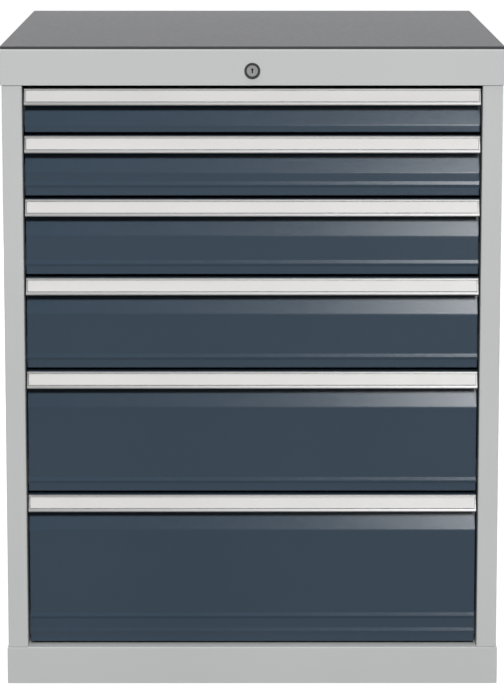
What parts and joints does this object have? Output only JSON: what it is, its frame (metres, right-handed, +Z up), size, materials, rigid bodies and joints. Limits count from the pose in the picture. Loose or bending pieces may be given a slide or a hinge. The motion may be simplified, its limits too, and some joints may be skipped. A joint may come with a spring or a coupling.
{
  "type": "industrial drawer cabinet",
  "caption": "Free-standing steel drawer cabinet on a plinth with graduated full-extension drawers, handle rails with label strips, a covered top and a central lock.",
  "frame": {"origin": "middle of the footprint, on the floor", "axes": "+X is the cabinet's right seen from the front, -Y is the front that the drawers open towards, +Z is up"},
  "size_m": [0.785, 0.743, 1.0233],
  "materials": {
    "housing_paint": "satin light grey powder coat",
    "front_paint": "satin blue-grey powder coat",
    "box_paint": "satin light grey powder coat",
    "handle_aluminium": "satin natural anodised",
    "label_film": "satin blank label strip",
    "mat_rubber": "matt grey rubber",
    "zinc_steel": "satin bright zinc plated",
    "lock_chrome": "polished nickel"
  },
  "bodies": {
    "housing": {"side_panel_left": "housing_paint", "side_panel_right": "housing_paint", "back_panel": "housing_paint", "floor_panel": "housing_paint", "plinth": "housing_paint", "top_cover": "housing_paint", "top_mat": "mat_rubber", "rear_post": "zinc_steel", "lock_housing": "lock_chrome", "slide_outer_left_1": "zinc_steel", "slide_outer_left_2": "zinc_steel", "slide_outer_left_3": "zinc_steel", "slide_outer_left_4": "zinc_steel", "slide_outer_left_5": "zinc_steel", "slide_outer_left_6": "zinc_steel", "slide_outer_right_1": "zinc_steel", "slide_outer_right_2": "zinc_steel", "slide_outer_right_3": "zinc_steel", "slide_outer_right_4": "zinc_steel", "slide_outer_right_5": "zinc_steel", "slide_outer_right_6": "zinc_steel"},
    "drawer_1": {"drawer_box_1": "box_paint", "drawer_front_1": "front_paint", "handle_1": "handle_aluminium", "label_strip_1": "label_film"},
    "drawer_2": {"drawer_box_2": "box_paint", "drawer_front_2": "front_paint", "handle_2": "handle_aluminium", "label_strip_2": "label_film"},
    "drawer_3": {"drawer_box_3": "box_paint", "drawer_front_3": "front_paint", "handle_3": "handle_aluminium", "label_strip_3": "label_film"},
    "drawer_4": {"drawer_box_4": "box_paint", "drawer_front_4": "front_paint", "handle_4": "handle_aluminium", "label_strip_4": "label_film"},
    "drawer_5": {"drawer_box_5": "box_paint", "drawer_front_5": "front_paint", "handle_5": "handle_aluminium", "label_strip_5": "label_film"},
    "drawer_6": {"drawer_box_6": "box_paint", "drawer_front_6": "front_paint", "handle_6": "handle_aluminium", "label_strip_6": "label_film"},
    "slide_1": {"slide_middle_left_1": "zinc_steel", "slide_middle_right_1": "zinc_steel"},
    "slide_2": {"slide_middle_left_2": "zinc_steel", "slide_middle_right_2": "zinc_steel"},
    "slide_3": {"slide_middle_left_3": "zinc_steel", "slide_middle_right_3": "zinc_steel"},
    "slide_4": {"slide_middle_left_4": "zinc_steel", "slide_middle_right_4": "zinc_steel"},
    "slide_5": {"slide_middle_left_5": "zinc_steel", "slide_middle_right_5": "zinc_steel"},
    "slide_6": {"slide_middle_left_6": "zinc_steel", "slide_middle_right_6": "zinc_steel"},
    "lock": {"lock_plug": "lock_chrome", "lock_shaft": "zinc_steel"},
    "lock_bar": {"lock_bar": "zinc_steel"}
  },
  "joints": [
    {"name": "drawer_1_slide", "type": "slide", "parent": "housing", "child": "drawer_1", "axis": [0, -1, 0], "range_m": [0, 0.6]},
    {"name": "drawer_2_slide", "type": "slide", "parent": "housing", "child": "drawer_2", "axis": [0, -1, 0], "range_m": [0, 0.6]},
    {"name": "drawer_3_slide", "type": "slide", "parent": "housing", "child": "drawer_3", "axis": [0, -1, 0], "range_m": [0, 0.6]},
    {"name": "drawer_4_slide", "type": "slide", "parent": "housing", "child": "drawer_4", "axis": [0, -1, 0], "range_m": [0, 0.6]},
    {"name": "drawer_5_slide", "type": "slide", "parent": "housing", "child": "drawer_5", "axis": [0, -1, 0], "range_m": [0, 0.6]},
    {"name": "drawer_6_slide", "type": "slide", "parent": "housing", "child": "drawer_6", "axis": [0, -1, 0], "range_m": [0, 0.6]},
    {"name": "slide_1_travel", "type": "slide", "parent": "housing", "child": "slide_1", "axis": [0, -1, 0], "range_m": [0, 0.3]},
    {"name": "slide_2_travel", "type": "slide", "parent": "housing", "child": "slide_2", "axis": [0, -1, 0], "range_m": [0, 0.3]},
    {"name": "slide_3_travel", "type": "slide", "parent": "housing", "child": "slide_3", "axis": [0, -1, 0], "range_m": [0, 0.3]},
    {"name": "slide_4_travel", "type": "slide", "parent": "housing", "child": "slide_4", "axis": [0, -1, 0], "range_m": [0, 0.3]},
    {"name": "slide_5_travel", "type": "slide", "parent": "housing", "child": "slide_5", "axis": [0, -1, 0], "range_m": [0, 0.3]},
    {"name": "slide_6_travel", "type": "slide", "parent": "housing", "child": "slide_6", "axis": [0, -1, 0], "range_m": [0, 0.3]},
    {"name": "lock_turn", "type": "hinge", "parent": "housing", "child": "lock", "pos_m": [0, -0.373, 0.9855], "axis": [0, 1, 0], "range_deg": [0, 90]},
    {"name": "lock_bar_lift", "type": "slide", "parent": "housing", "child": "lock_bar", "axis": [0, 0, 1], "range_m": [0, 0.01131]}
  ],
  "couplings": [
    {"joint": "slide_1_travel", "follows": "drawer_1_slide", "ratio": 0.5},
    {"joint": "slide_2_travel", "follows": "drawer_2_slide", "ratio": 0.5},
    {"joint": "slide_3_travel", "follows": "drawer_3_slide", "ratio": 0.5},
    {"joint": "slide_4_travel", "follows": "drawer_4_slide", "ratio": 0.5},
    {"joint": "slide_5_travel", "follows": "drawer_5_slide", "ratio": 0.5},
    {"joint": "slide_6_travel", "follows": "drawer_6_slide", "ratio": 0.5},
    {"joint": "lock_turn", "follows": "lock_bar_lift", "rad_per_m": 138.84}
  ]
}
